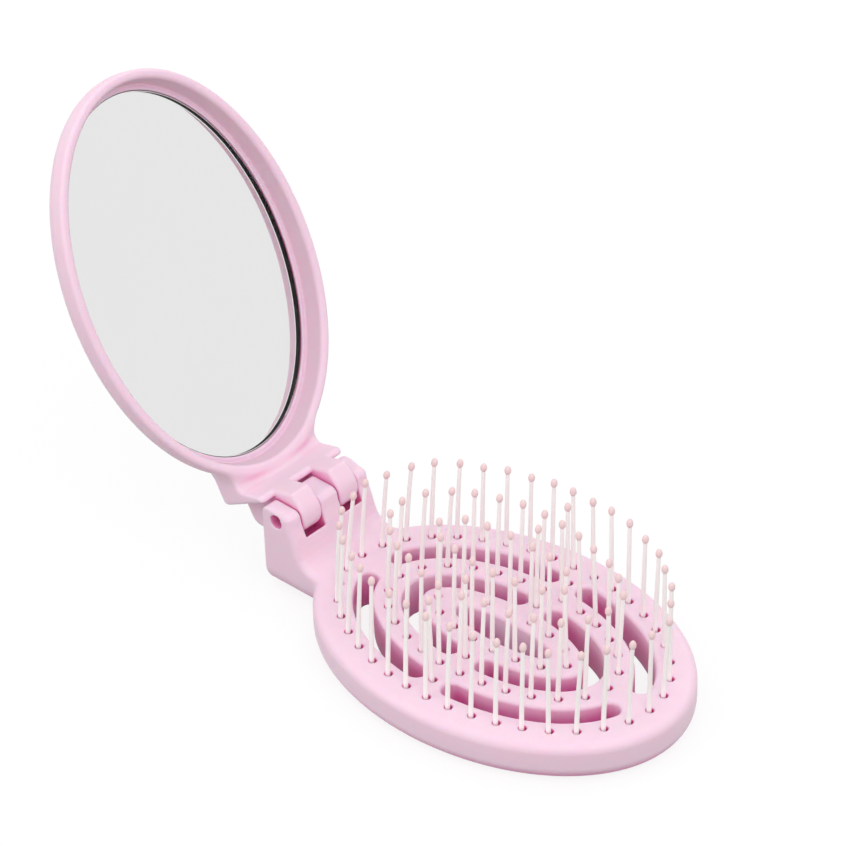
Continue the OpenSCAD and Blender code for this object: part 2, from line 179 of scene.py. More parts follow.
class PinSizes(bpy.types.PropertyGroup):
    """Sizes and numbers of the brush pins."""
    inset: length("Inset", "Distance from the edge of the head to the outer ring", 5.2 * MM)
    inner_length: length("Inner length", "Length of the inner ring", 34 * MM)
    inner_width: length("Inner width", "Width of the inner ring", 11.4 * MM)
    outer_count: IntProperty(name="Outer pins", description="Pins in the outer ring", default=38)
    middle_count: IntProperty(name="Middle pins", description="Pins in the middle ring", default=26)
    inner_count: IntProperty(name="Inner pins", description="Pins in the inner ring", default=14)
    height: length("Height", "Height of the pins above the face", 18.8 * MM)
    foot: length("Foot", "Diameter of a pin at its foot", 1.04 * MM)
    top: length("Top", "Diameter of a pin under its tip", 0.82 * MM)
    tip_width: length("Tip width", "Diameter of a tip", 1.4 * MM)
    tip_height: length("Tip height", "Height of a tip", 1.95 * MM)
    strip: length("Strip", "Thickness of the strips that the pins grow from", 1.5 * MM)
    lean: angle("Lean", "How far each pin strays from its neighbours", 0.9)
    off_centre: length("Off centre", "How far the pins stand from the middle of their holes", 0.24 * MM)
    seed: IntProperty(name="Seed", description="Start of the random leans", default=4)


class Colours(bpy.types.PropertyGroup):
    """Colours of the materials."""
    shell: paint("Shell", "Pink plastic of the head and the frame", 243, 214, 229)
    shell_deep: paint("Shell, deep", "Pink plastic where it is a little denser", 241, 209, 226)
    # Painted shade: a deep pink that the shell takes in its hollows and gaps, by how closely other surfaces
    # face them.
    shell_painted_shade: paint("Shell, hollow", "Pink plastic deep in its hollows and gaps", 236, 104, 180)
    pins: paint("Pins", "White nylon of the pins", 255, 252, 250)
    pins_deep: paint("Pins, deep", "Nylon where it is a little denser", 252, 247, 244)
    tips: paint("Tips", "Pale pink beads on the pins", 240, 214, 214)
    tips_deep: paint("Tips, deep", "Beads where they are a little denser", 235, 204, 205)
    steel: paint("Steel", "Hinge pin", 196, 196, 200)
    silver: paint("Silver", "Silvering behind the glass", 231, 231, 231)
    # The side of the glass is near black; the pale specks on it are painted glints.
    edge: paint("Edge", "Dark sealed edge of the glass", 14, 8, 11)
    foam: paint("Foam", "Adhesive foam pad", 62, 62, 66)
    floor: paint("Floor", "Studio floor", 160, 160, 160)


class Studio(bpy.types.PropertyGroup):
    """Camera, lights and background."""
    camera_place: FloatVectorProperty(name="Camera", description="Place of the camera", subtype="TRANSLATION",
                                      default=(0.4559, -0.4448, 0.4830), precision=4)
    camera_azimuth: angle("Azimuth", "Turn of the camera about the upright axis", 43.72)
    camera_height: angle("Elevation", "Angle at which the camera looks down", 35.15)
    camera_roll: angle("Roll", "Turn of the camera about its own line of sight", -2.01)
    lens: number("Lens", "Focal length in millimetres on a 36 mm sensor", 165.8)
    ambient: number("Ambient", "Light that comes evenly from all round", 0.86)
    key: number("Key lamp", "Power of the lamp over the camera's right shoulder, in watts", 3.8)
    fill: number("Fill lamp", "Power of the lamp on the left, in watts", 2.1)
    rim: number("Rim lamp", "Power of the lamp on the right, behind the mirror, in watts", 1.2)
    floor_glow: number("Floor glow", "Share of white that the floor shows in its own shadow", 0.85)
    cell: length("Cell", "Step of the grid on which the moulded shapes are worked out", 0.3 * MM)


GROUPS = {"hairbrush_head": HeadSizes, "hairbrush_hinge": HingeSizes, "hairbrush_mirror": MirrorSizes,
          "hairbrush_pins": PinSizes, "hairbrush_colours": Colours, "hairbrush_studio": Studio}


# ---- Distances: every shape is the space where its distance is below zero ----

def line_distance(x, y, points, closed):
    """Distance from each place to a line of straight pieces."""
    best = np.float32(1)
    ends = np.roll(points, -1, axis=0) if closed else points[1:]
    for (px, py), (qx, qy) in zip(points, ends):
        dx, dy = qx - px, qy - py
        along = np.clip(((x - px) * dx + (y - py) * dy) / (dx * dx + dy * dy), 0, 1)
        best = np.minimum(best, (x - px - along * dx) ** 2 + (y - py - along * dy) ** 2)
    return np.sqrt(best).astype(np.float32)


def on_oval(half, degrees):
    """Points on an oval with the given half lengths."""
    turn = np.radians(degrees)
    return np.stack([half[0] * np.cos(turn), half[1] * np.sin(turn)], axis=1)


def oval_distance(x, y, half):
    """Distance to an oval round the origin, below zero inside."""
    away = line_distance(x, y, on_oval(half, np.arange(0, 360, 1.0)), True)
    return np.where((x / half[0]) ** 2 + (y / half[1]) ** 2 < 1, -away, away)


def outline_distance(x, y, points):
    """Distance to a closed outline, below zero inside."""
    inside = np.zeros(np.broadcast(x, y).shape, bool)
    for (px, py), (qx, qy) in zip(points, np.roll(points, -1, axis=0)):
        if py != qy:
            inside ^= ((py > y) != (qy > y)) & (x < (qx - px) * (y - py) / (qy - py) + px)
    away = line_distance(x, y, points, True)
    return np.where(inside, -away, away)


def both(a, b, rounding=0.0):
    """The space in both shapes, with the edge between them rounded."""
    if np.isscalar(rounding) and not rounding:
        return np.maximum(a, b)
    over_a, over_b = np.maximum(a + rounding, 0), np.maximum(b + rounding, 0)
    return np.minimum(np.maximum(a, b), -rounding) + np.sqrt(over_a * over_a + over_b * over_b)


def either(a, b, rounding=0.0):
    """The space in one shape or the other, with the corner between them filled out."""
    return -both(-a, -b, rounding)


def cut(a, b, rounding=0.0):
    """The space in a and not in b, with the rim of the cut rounded."""
    return both(a, -b, rounding)


def arc(centre, radius, start, end, steps=8):
    """Points along an arc, with its angles in degrees."""
    turn = np.radians(np.linspace(start, end, steps))
    return np.stack([centre[0] + radius * np.cos(turn), centre[1] + radius * np.sin(turn)], axis=1)


class Grid:
    """A block of places, one cell apart, on which a shape's distance is worked out."""

    def __init__(self, low, high, cell):
        self.low = np.array(low, float)
        self.cell = cell
        counts = np.ceil((np.array(high) - self.low) / cell).astype(int) + 1
        axes = [(self.low[a] + cell * np.arange(counts[a])).astype(np.float32) for a in range(3)]
        self.x, self.y, self.z = axes[0][:, None, None], axes[1][None, :, None], axes[2][None, None, :]

    def sample(self, field, points):
        """The field between the grid's places."""
        at = (points - self.low) / self.cell
        corner = np.clip(np.floor(at).astype(int), 0, np.array(field.shape) - 2)
        share = np.clip(at - corner, 0, 1)
        total = 0
        for step in np.ndindex(2, 2, 2):
            weight = np.prod(np.where(step, share, 1 - share), axis=1)
            total = total + weight * field[tuple((corner + step).T)]
        return total

    def slope(self, field, points):
        """The direction in which the field grows fastest."""
        reach = self.cell * 0.5
        return np.stack([self.sample(field, points + reach * axis) - self.sample(field, points - reach * axis)
                         for axis in np.eye(3)], axis=1) / (2 * reach)

    def settle(self, field, points, rounds=4):
        """Moves points onto the shape's surface, and gives the surface's normals there."""
        start = points.copy()
        farthest = 0.75 * self.cell
        least_steepness = 0.25
        for _ in range(rounds):
            slope = self.slope(field, points)
            steepness = np.maximum((slope * slope).sum(axis=1), least_steepness)
            points = points - (self.sample(field, points) / steepness)[:, None] * slope
            points = start + np.clip(points - start, -farthest, farthest)
        normals = self.slope(field, points)
        return points, normals / np.maximum(np.linalg.norm(normals, axis=1), 1e-9)[:, None]

    def skin(self, field):
        """Points and quads of the surface at which the field is zero."""
        inside = field < 0
        size = np.array(field.shape) - 1
        corners = list(np.ndindex(2, 2, 2))
        count = sum(inside[i:i + size[0], j:j + size[1], k:k + size[2]].astype(np.int8)
                    for i, j, k in corners)
        crossed = (count > 0) & (count < 8)
        cells = np.argwhere(crossed)
        number_of = np.full(crossed.shape, -1, np.int32)
        number_of[crossed] = np.arange(len(cells))
        value = {c: field[tuple((cells + c).T)] for c in corners}
        place, hits = np.zeros((len(cells), 3)), np.zeros(len(cells))
        for start in corners:
            for axis in range(3):
                if start[axis]:
                    continue
                end = tuple(c + (a == axis) for a, c in enumerate(start))
                crosses = (value[start] < 0) != (value[end] < 0)
                share = np.where(crosses, value[start] / np.where(crosses, value[start] - value[end], 1), 0)
                place += crosses[:, None] * (np.array(start) + share[:, None] * np.eye(3)[axis])
                hits += crosses
        quads = [self.quads_across(inside, number_of, size, axis) for axis in range(3)]
        return self.low + self.cell * (cells + place / hits[:, None]), np.concatenate(quads)

    @staticmethod
    def quads_across(inside, number_of, size, axis):
        """The quads that cross the grid's edges along one axis, wound to face outwards."""
        u, v = [a for a in range(3) if a != axis]
        first, second = [slice(None)] * 3, [slice(None)] * 3
        first[axis], second[axis] = slice(0, -1), slice(1, None)
        edges = np.argwhere(inside[tuple(first)] != inside[tuple(second)])
        edges = edges[(edges[:, u] > 0) & (edges[:, v] > 0)
                      & (edges[:, u] < size[u]) & (edges[:, v] < size[v])]
        ring = []
        for du, dv in ((-1, -1), (0, -1), (0, 0), (-1, 0)):
            around = edges.copy()
            around[:, u] += du
            around[:, v] += dv
            ring.append(number_of[tuple(around.T)])
        ring = np.stack(ring, axis=1)
        outward = inside[tuple(edges.T)] != (axis == 1)
        return np.where(outward[:, None], ring, ring[:, ::-1])


def moulded_mesh(name, grid, field):
    """A closed mesh of the field's surface, thinned where it is plain, with its points and normals."""
    points, quads = grid.skin(field)
    points, _ = grid.settle(field, points)
    dense = bpy.data.meshes.new(name + "_dense")
    dense.from_pydata(points.tolist(), [], quads.tolist())
    carrier = bpy.data.objects.new(name + "_dense", dense)
    bpy.context.scene.collection.objects.link(carrier)
    thin = carrier.modifiers.new("thin", "DECIMATE")
    thin.ratio = KEPT_FACES
    thinned = carrier.evaluated_get(bpy.context.evaluated_depsgraph_get())
    mesh = bpy.data.meshes.new_from_object(thinned)
    mesh.name = name
    bpy.data.objects.remove(carrier)
    bpy.data.meshes.remove(dense)
    points = read_points(mesh)
    points, normals = grid.settle(field, points, rounds=3)
    return mesh, points, normals


def read_points(mesh):
    """The places of a mesh's vertices."""
    flat = np.empty(len(mesh.vertices) * 3)
    mesh.vertices.foreach_get("co", flat)
    return flat.reshape(-1, 3)


def set_surface(mesh, points, normals):
    """Puts the vertices and their normals in place."""
    mesh.vertices.foreach_set("co", points.ravel())
    mesh.update()
    mesh.shade_smooth()
    mesh.normals_split_custom_set_from_vertices(normals.tolist())


# ---- Shapes that the brush and the mirror share ----

def rings_of(head, pins):
    """Five ovals, one inside the other: pins stand on 0, 2 and 4, and vents lie on 1 and 3."""
    outer = np.array([head.oval_length / 2 - pins.inset, head.oval_width / 2 - pins.inset])
    inner = np.array([pins.inner_length, pins.inner_width]) / 2
    return [outer + (inner - outer) * j / 4 for j in range(5)]


def pin_places(head, pins):
    """Where the pins of each ring stand, from the middle of the head."""
    rings = rings_of(head, pins)
    counts = (pins.outer_count, pins.middle_count, pins.inner_count)
    fine_points = 2001
    places = []
    for ring, count in enumerate(counts):
        line = on_oval(rings[2 * ring], np.linspace(0, 360, fine_points))
        way = np.concatenate([[0], np.cumsum(np.linalg.norm(np.diff(line, axis=0), axis=1))])
        stops = np.arange(count) * way[-1] / count
        stand = np.stack([np.interp(stops, way, line[:, 0]), np.interp(stops, way, line[:, 1])], axis=1)
        if ring < 2:
            bridge = rings[2 * ring + 1][1]
            stand = np.concatenate([stand, [[0, bridge], [0, -bridge]]])
        places.append(stand)
    return places


def vent_distance(x, y, head, pins):
    """Plan distance to the vents, from the middle of the head."""
    rings = rings_of(head, pins)
    half = head.vent_width / 2
    stop = head.bridge / 2 + half
    steps = 60
    # The line of each slot in one quarter of the head. The middle slots start a little below the
    # head's long axis, so that their two halves meet.
    below_axis = -3
    outer = on_oval(rings[1], np.linspace(math.degrees(math.asin(stop / rings[1][1])),
                                          math.degrees(math.acos(stop / rings[1][0])), steps))
    middle = on_oval(rings[3], np.linspace(below_axis, math.degrees(math.acos(stop / rings[3][0])), steps))
    slots = np.minimum(line_distance(abs(x), abs(y), outer, False),
                       line_distance(abs(x), abs(y), middle, False))
    return either(slots - half, oval_distance(x, y, (head.centre_length / 2, head.centre_width / 2)))


def knuckle_middle(hinge):
    """Distance along the axis from the middle of the hinge to the middle of a knuckle, and its width."""
    width = (hinge.width - 2 * hinge.ear - hinge.middle_ear - 4 * hinge.gap) / 2
    return hinge.middle_ear / 2 + hinge.gap + width / 2, width


# ---- Brush head ----

def knuckle_corner(hinge):
    """Middle of the rounded corner in front of a knuckle, from the axis, with the mirror folded."""
    return np.array([hinge.lug - hinge.lug_round, hinge.lug_round - hinge.lug_drop])


def ear_outline(hinge):
    """Side view of the hinge ears, from the axis. In front it runs out into the head."""
    foot, back_top, front_top = 0.8 * MM, 1.7 * MM, 2.1 * MM
    front = np.array(EAR_FRONT) * MM
    return np.concatenate([
        arc((foot - hinge.back, foot - AXIS_HEIGHT), foot, 270, 180),
        arc((back_top - hinge.back, 0.9 * MM), back_top, 180, 95),
        arc((1.9 * MM, 0.4 * MM), front_top, 85, 30),
        front, [(front[-1][0], -AXIS_HEIGHT)]])


def knuckle_slots(grid, hinge):
    """The space that the knuckles turn in: hollow round the axis, and open above and behind it."""
    up = grid.z - AXIS_HEIGHT
    reach = np.linalg.norm(knuckle_corner(hinge)) + hinge.lug_round + hinge.hollow
    side = np.minimum(np.hypot(grid.x, up) - reach, -up)
    side = np.minimum(side, np.maximum(grid.x, -reach - up))
    middle, width = knuckle_middle(hinge)
    return np.maximum(side, abs(abs(grid.y) - middle) - width / 2 - hinge.gap)


def head_field(grid, head, hinge, pins):
    """The brush head: an oval dish with a hinge block, vents and pin holes."""
    slot_rim, hole_rim, bore_rim = 0.5 * MM, 0.15 * MM, 0.12 * MM
    half = np.array([head.oval_length, head.oval_width]) / 2
    along = grid.x - head.near_end - half[0]
    oval = oval_distance(along, grid.y, half)
    body = both(both(oval, grid.z - head.thickness, head.top_edge), both(oval, -grid.z, head.foot_edge))
    ears = outline_distance(grid.x, grid.z - AXIS_HEIGHT, ear_outline(hinge))
    sides = both(abs(grid.y) - hinge.width / 2, -grid.z, hinge.block_side)
    # The ears' edges grow rounder from behind the axis to in front of it.
    turning = 3 * MM
    forward = np.clip(grid.x / turning + 0.5, 0, 1)
    rounding = hinge.edge + (hinge.ear_round - hinge.edge) * forward * forward * (3 - 2 * forward)
    block = both(ears, sides, rounding)
    shape = both(either(body, block, hinge.head_blend), -grid.z)
    shape = cut(shape, knuckle_slots(grid, hinge), slot_rim)
    vents = vent_distance(along, grid.y, head, pins)
    shape = cut(shape, vents, np.where(grid.z > head.thickness / 2, head.vent_edge, head.vent_foot))
    well = oval_distance(along, grid.y, half - head.wall)
    under_face = grid.z - (head.thickness - head.face)
    shape = cut(shape, both(both(well, under_face), head.vent_wall - vents))
    below_face = 1 * MM
    holes = np.float32(1)
    for x, y in np.concatenate(pin_places(head, pins)):
        holes = np.minimum(holes, np.hypot(along - x, grid.y - y) - head.pin_hole / 2)
    shape = cut(shape, both(holes, -under_face - below_face), hole_rim)
    bore = np.hypot(grid.x, grid.z - AXIS_HEIGHT) - hinge.pin / 2 - hinge.bore_gap
    return cut(shape, bore, bore_rim)


class HAIRBRUSH_OT_head(bpy.types.Operator):
    """Adds the oval brush head with its vents, pin holes and hinge ears"""
    bl_idname = "hairbrush.head"
    bl_label = "Brush head"

    def execute(self, context):
        scene = context.scene
        head = scene.hairbrush_head
        margin = Vector((1, 1, 1)) * SPARE_ROOM * MM
        grid = Grid(HEAD_LOW - margin, HEAD_HIGH + margin, scene.hairbrush_studio.cell)
        field = head_field(grid, head, scene.hairbrush_hinge, scene.hairbrush_pins)
        mesh, points, normals = moulded_mesh("vented_head", grid, field)
        set_surface(mesh, points, normals)
        add_piece(mesh, "brush", "pink_plastic", shell_plastic(scene), "head_shell")
        return {"FINISHED"}


class HAIRBRUSH_OT_cover(bpy.types.Operator):
    """Finishes the cover that closes the underside of the head"""
    bl_idname = "hairbrush.cover"
    bl_label = "Back cover"

    def execute(self, context):
        dress_node("head_back", shell_plastic(context.scene))
        return {"FINISHED"}


# ---- Pins ----

class Mesher:
    """Collects the points and faces of several closed shapes in one mesh."""

    def __init__(self):
        self.points = []
        self.faces = []

    def turned(self, profile, sides, centre_at):
        """Turns a profile of (radius, height) from the bottom up, round centres that may wander."""
        first = len(self.points)
        for radius, height in profile:
            cx, cy = centre_at(height)
            for k in range(sides):
                turn = 2 * math.pi * k / sides
                self.points.append((cx + radius * math.cos(turn), cy + radius * math.sin(turn), height))
        rings = len(profile)
        for ring in range(rings - 1):
            for k in range(sides):
                low, next_low = first + ring * sides + k, first + ring * sides + (k + 1) % sides
                self.faces.append((low, next_low, next_low + sides, low + sides))
        self.faces.append(tuple(first + k for k in reversed(range(sides))))
        self.faces.append(tuple(first + (rings - 1) * sides + k for k in range(sides)))

    def band(self, outside, inside, low, high, middle_x, sides=256):
        """A flat oval ring."""
        first = len(self.points)
        corners = ((outside, low), (outside, high), (inside, high), (inside, low))
        for half, height in corners:
            for x, y in on_oval(half, np.arange(sides) * 360 / sides):
                self.points.append((middle_x + x, y, height))
        for ring in range(4):
            for k in range(sides):
                a, b = first + ring * sides + k, first + ring * sides + (k + 1) % sides
                c, d = first + (ring + 1) % 4 * sides + (k + 1) % sides, first + (ring + 1) % 4 * sides + k
                self.faces.append((a, b, c, d))

    def block(self, low, high):
        """A plain tab with square corners."""
        first = len(self.points)
        self.points += [(x, y, z) for x in (low[0], high[0]) for y in (low[1], high[1])
                        for z in (low[2], high[2])]
        for face in ((0, 1, 3, 2), (4, 6, 7, 5), (0, 4, 5, 1), (2, 3, 7, 6), (0, 2, 6, 4), (1, 5, 7, 3)):
            self.faces.append(tuple(first + corner for corner in face))

    def mesh(self, name, crease=35):
        """The finished mesh, smooth but for edges sharper than the crease angle in degrees."""
        mesh = bpy.data.meshes.new(name)
        mesh.from_pydata(self.points, [], self.faces)
        mesh.shade_smooth()
        mesh.set_sharp_from_angle(angle=math.radians(crease))
        return mesh


def pin_leans(head, pins):
    """How far each pin's top strays from its foot, in metres along X and Y."""
    random = np.random.default_rng(pins.seed)
    spread = math.tan(pins.lean) * pins.height
    leans = []
    for stand in pin_places(head, pins):
        u, v = stand[:, 0] / (head.oval_length / 2), stand[:, 1] / (head.oval_width / 2)
        terms = np.stack([np.ones_like(u), u, v, u * u, v * v], axis=1)
        bent = np.stack([terms @ bend for bend in PIN_BEND], axis=1)
        leans.append(bent * MM + random.normal(0, spread, stand.shape).clip(-2 * spread, 2 * spread))
    return leans


def egg(pins, top):
    """Profile of a tip, from its flat underside up to its crown."""
    cut_off, fullness, crown = 0.16, 0.07, 0.01 * MM
    rows = []
    for share in np.linspace(cut_off, 1, 15):
        turn = math.pi * share
        width = math.sin(turn) * (1 + fullness * math.cos(turn))
        height = top - pins.tip_height / 2 * (1 + math.cos(turn))
        rows.append((max(pins.tip_width / 2 * width, crown), height))
    return rows


class HAIRBRUSH_OT_pins(bpy.types.Operator):
    """Adds the strips of nylon pins and the beads on them"""
    bl_idname = "hairbrush.pins"
    bl_label = "Pins and tips"

    def execute(self, context):
        scene = context.scene
        head, pins = scene.hairbrush_head, scene.hairbrush_pins
        places, leans = pin_places(head, pins), pin_leans(head, pins)
        for ring, name in enumerate(RINGS):
            stems, beads = Mesher(), Mesher()
            self.add_strip(stems, head, pins, ring)
            for (x, y), lean in zip(places[ring], leans[ring]):
                self.add_pin(stems, beads, head, pins, x, y, lean)
            add_piece(stems.mesh(name + "_pins"), "brush", "white_nylon", pin_nylon(scene),
                      name + "_pin_strip")
            add_piece(beads.mesh(name + "_beads"), "brush", "tip_bead", bead_coating(scene),
                      name + "_pin_tips")
        return {"FINISHED"}

    def add_strip(self, stems, head, pins, ring):
        """The strip under the face that the ring's pins grow from."""
        rings = rings_of(head, pins)
        gap = 2 * head.seat_gap
        skin = head.vent_width / 2 + head.vent_wall
        half = np.array([head.oval_length, head.oval_width]) / 2
        centre = np.array([head.centre_length, head.centre_width]) / 2 + head.vent_wall
        outside = (half - head.wall if ring == 0 else rings[2 * ring - 1] - skin) - gap
        inside = (centre if ring == 2 else rings[2 * ring + 1] + skin) + gap
        high = head.thickness - head.face
        middle = head.near_end + half[0]
        stems.band(outside, inside, high - pins.strip, high, middle)
        if ring < 2:
            tab = head.bridge - 2 * (head.vent_wall + 2 * head.seat_gap)
            for side in (-1, 1):
                ends = sorted((side * (rings[2 * ring + 1][1] - tab / 2), side * rings[2 * ring][1]))
                stems.block((middle - tab / 2, ends[0], high - pins.strip), (middle + tab / 2, ends[1], high))

    def add_pin(self, stems, beads, head, pins, x, y, lean):
        """One tapered pin with its bead."""
        root = 0.4 * MM
        foot_height = head.thickness - head.face - root
        top = head.thickness + pins.height
        rise = top - pins.tip_height - foot_height
        middle = head.near_end + head.oval_length / 2
        aside = pins.off_centre * math.sqrt(0.5)
        straight, bow = 0.7, 0.3

        def centre_at(height):
            share = (height - foot_height) / rise
            bent = share * (straight + bow * share)
            return middle + x + lean[0] * bent - aside, y + lean[1] * bent - aside

        # The last share lies inside the bead.
        shares = np.array([0, 0.08, 0.2, 0.4, 0.6, 0.8, 1, 1.03])
        profile = [((pins.foot + (pins.top - pins.foot) * min(s, 1)) / 2, foot_height + rise * s)
                   for s in shares]
        stems.turned(profile, PIN_SIDES, centre_at)
        beads.turned(egg(pins, top), BEAD_SIDES, centre_at)


# ---- Hinge pin ----

class HAIRBRUSH_OT_hinge_pin(bpy.types.Operator):
    """Adds the steel pin that the mirror turns on"""
    bl_idname = "hairbrush.hinge_pin"
    bl_label = "Hinge pin"

    def execute(self, context):
        scene = context.scene
        radius = scene.hairbrush_hinge.pin / 2
        half = (HINGE_PIN_HIGH.y - HINGE_PIN_LOW.y) / 2
        end = [(radius * share, half - fall * MM) for share, fall in PIN_END]
        profile = [(r, -h) for r, h in end] + [(r, h) for r, h in reversed(end)]
        rod = Mesher()
        rod.turned(profile, ROD_SIDES, lambda height: (0, 0))
        mesh = rod.mesh("hinge_rod", crease=60)
        mesh.transform(Matrix.Translation((0, 0, AXIS_HEIGHT)) @ Matrix.Rotation(math.pi / 2, 4, "X"))
        add_piece(mesh, "brush", "pin_steel", pin_steel(scene), "hinge_pin")
        return {"FINISHED"}


# ---- Mirror ----

def opened(mirror):
    """Turns what is drawn folded about the hinge axis to its place in the opened brush."""
    return Matrix.Translation((0, 0, AXIS_HEIGHT)) @ Matrix.Rotation(-mirror.opened, 4, "Y")


def neck_outline(hinge, mirror):
    """Side view of a knuckle's neck, from the axis, with the mirror folded."""
    stop = math.pi - hinge.widest
    rest = hinge.knuckle * np.array([math.cos(stop), math.sin(stop)])
    heel = rest + hinge.heel * np.array([-math.sin(stop), math.cos(stop)])
    back = mirror.lift + mirror.neck
    heel_back = mirror.lift + hinge.heel_depth
    front = mirror.lift + mirror.rim_step
    # The line from the lug to the valley faces forwards at this angle, in degrees.
    slope = -14
    valley_centre = 0.78
    valley = (mirror.near_end - mirror.valley + valley_centre * hinge.valley_round,
              front - hinge.valley_round)
    buried = mirror.near_end + 4.5 * MM
    lug = knuckle_corner(hinge)
    under = math.atan2(lug[1], lug[0]) - math.acos((hinge.knuckle - hinge.lug_round) / np.linalg.norm(lug))
    # The back slopes down from behind the ears to the heel.
    slope_top = (hinge.ear_reach + 0.8 * MM, back)
    slope_foot = (2.6 * MM, heel_back)
    return np.concatenate([
        [(0, 0), (hinge.knuckle * math.cos(under), hinge.knuckle * math.sin(under))],
        arc(lug, hinge.lug_round, math.degrees(under), slope),
        arc(valley, hinge.valley_round, 180 + slope, 90),
        [(buried, front), (buried, back), slope_top, slope_foot],
        arc((heel[0] + hinge.heel_round, heel_back - hinge.heel_round), hinge.heel_round, 90, 180),
        [heel, rest]])


def frame_field(grid, head, hinge, mirror):
    """The mirror frame, folded: x runs from the axis, and z is the height above it."""
    half = np.array([head.oval_length, head.oval_width]) / 2
    along = grid.x - mirror.near_end - half[0]
    oval = oval_distance(along, grid.y, half)
    back = mirror.lift + mirror.thickness
    body = both(both(oval, mirror.lift - grid.z, mirror.rim_round),
                both(oval, grid.z - back, mirror.back_edge))
    side = outline_distance(grid.x, grid.z, neck_outline(hinge, mirror))
    side = either(side, np.hypot(grid.x, grid.z) - hinge.knuckle)
    neck = both(side, abs(grid.y) - hinge.width / 2, hinge.edge)
    shape = either(body, neck, hinge.neck_blend)
    depth = grid.z - mirror.lift
    wall = oval + mirror.rim + mirror.taper * np.clip(depth / mirror.ledge, -1, 1)
    shape = cut(shape, both(wall, depth - mirror.ledge), mirror.rim_round)
    pocket = np.array([mirror.glass_length, mirror.glass_width]) / 2 + mirror.glass_gap
    bottom = mirror.glass_depth + mirror.glass_thickness + mirror.pad
    shape = cut(shape, both(oval_distance(along, grid.y, pocket), depth - bottom))
    middle, width = knuckle_middle(hinge)
    over_ears = width / 2 - abs(abs(grid.y) - middle)
    notch = both(np.minimum(grid.x - hinge.ear_reach, grid.z - hinge.ear_lift), over_ears)
    notch_rim = 0.8 * MM
    shape = cut(shape, notch, notch_rim)
    bore = np.hypot(grid.x, grid.z) - hinge.pin / 2 - hinge.bore_gap
    return cut(shape, bore)


class HAIRBRUSH_OT_mirror_frame(bpy.types.Operator):
    """Adds the mirror's frame with its recess, neck and knuckles"""
    bl_idname = "hairbrush.mirror_frame"
    bl_label = "Mirror frame"

    def execute(self, context):
        scene = context.scene
        head, hinge, mirror = scene.hairbrush_head, scene.hairbrush_hinge, scene.hairbrush_mirror
        margin = SPARE_ROOM * MM
        low = (-hinge.knuckle - margin, -head.oval_width / 2 - margin, -hinge.knuckle - margin)
        high = (mirror.near_end + head.oval_length + margin, head.oval_width / 2 + margin,
                mirror.lift + mirror.thickness + margin)
        grid = Grid(low, high, scene.hairbrush_studio.cell)
        field = frame_field(grid, head, hinge, mirror)
        mesh, points, normals = moulded_mesh("oval_mirror_frame", grid, field)
        place = np.array(opened(mirror))
        set_surface(mesh, points @ place[:3, :3].T + place[:3, 3], normals @ place[:3, :3].T)
        add_piece(mesh, "mirror", "pink_plastic", shell_plastic(scene), "mirror_frame")
        return {"FINISHED"}


class HAIRBRUSH_OT_mirror_glass(bpy.types.Operator):
    """Adds the silvered glass with its ground edge, and finishes the pad behind it"""
    bl_idname = "hairbrush.mirror_glass"
    bl_label = "Mirror glass and pad"

    def execute(self, context):
        scene = context.scene
        mirror = scene.hairbrush_mirror
        half = np.array([mirror.glass_length, mirror.glass_width]) / 2
        front = mirror.lift + mirror.glass_depth
        bevel_slope = 0.7
        rings = [(half - mirror.glass_bevel, front), (half, front + mirror.glass_bevel * bevel_slope),
                 (half, front + mirror.glass_thickness)]
        sides = GLASS_SIDES
        points = [(mirror.near_end + scene.hairbrush_head.oval_length / 2 + x, y, height)
                  for ring, height in rings for x, y in on_oval(ring, np.arange(sides) * 360 / sides)]
        faces = [tuple(reversed(range(sides)))]
        for ring in range(2):
            for k in range(sides):
                a, b = ring * sides + k, ring * sides + (k + 1) % sides
                faces.append((a, b, b + sides, a + sides))
        faces.append(tuple(range(2 * sides, 3 * sides)))
        mesh = bpy.data.meshes.new("silvered_glass")
        mesh.from_pydata(points, [], faces)
        mesh.shade_smooth()
        mesh.set_sharp_from_angle(angle=math.radians(20))
        mesh.transform(opened(mirror))
        finishes = [clear_glass(), dark_edge(scene), silvering(scene)]
        glass = add_piece(mesh, "mirror", "mirror_glass", finishes, "mirror_glass")
        # The front and its bevel are clear, the side is dark, and the back is silvered.
        for face in glass.data.polygons:
            face.material_index = 2 if face.index == len(faces) - 1 else int(face.index > sides)
        dress_node("mirror_pad", pad_foam(scene))
        return {"FINISHED"}


# ---- Pieces ----

def add_piece(mesh, body, slot, materials, *nodes):
    """Puts a finished mesh in the scene, on its body and in the place of its nodes."""
    piece = bpy.data.objects.new(mesh.name, mesh)
    bpy.context.scene.collection.objects.link(piece)
    for material in materials if isinstance(materials, list) else [materials]:
        mesh.materials.append(material)
    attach(piece, body)
    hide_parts(*nodes)
    return piece


def dress_node(node, material):
    """Gives a carried-over solid its material."""
    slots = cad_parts[node].data.materials
    slots.clear()
    slots.append(material)


# ---- Materials ----

def new_material(name):
    """A new node material and its Principled shader, or the one already made and nothing."""
    material = bpy.data.materials.get(name)
    if material:
        return material, None
    material = bpy.data.materials.new(name)
    material.use_nodes = True
    return material, material.node_tree.nodes["Principled BSDF"]


def opaque(colour, light=1):
    """A colour with its alpha, at a share of its light."""
    return (*[c * light for c in colour], 1)


def feed(links, node, values):
    """Sets a node's inputs, by name or number, to values or to the sockets that they follow."""
    for name, value in values.items():
        if isinstance(value, bpy.types.NodeSocket):
            links.new(value, node.inputs[name])
        else:
            node.inputs[name].default_value = value


def worked_out(nodes, links, operation, *values):
    """The result of a Math node."""
    step = nodes.new("ShaderNodeMath")
    step.operation = operation
    feed(links, step, dict(enumerate(values)))
    return step.outputs[0]


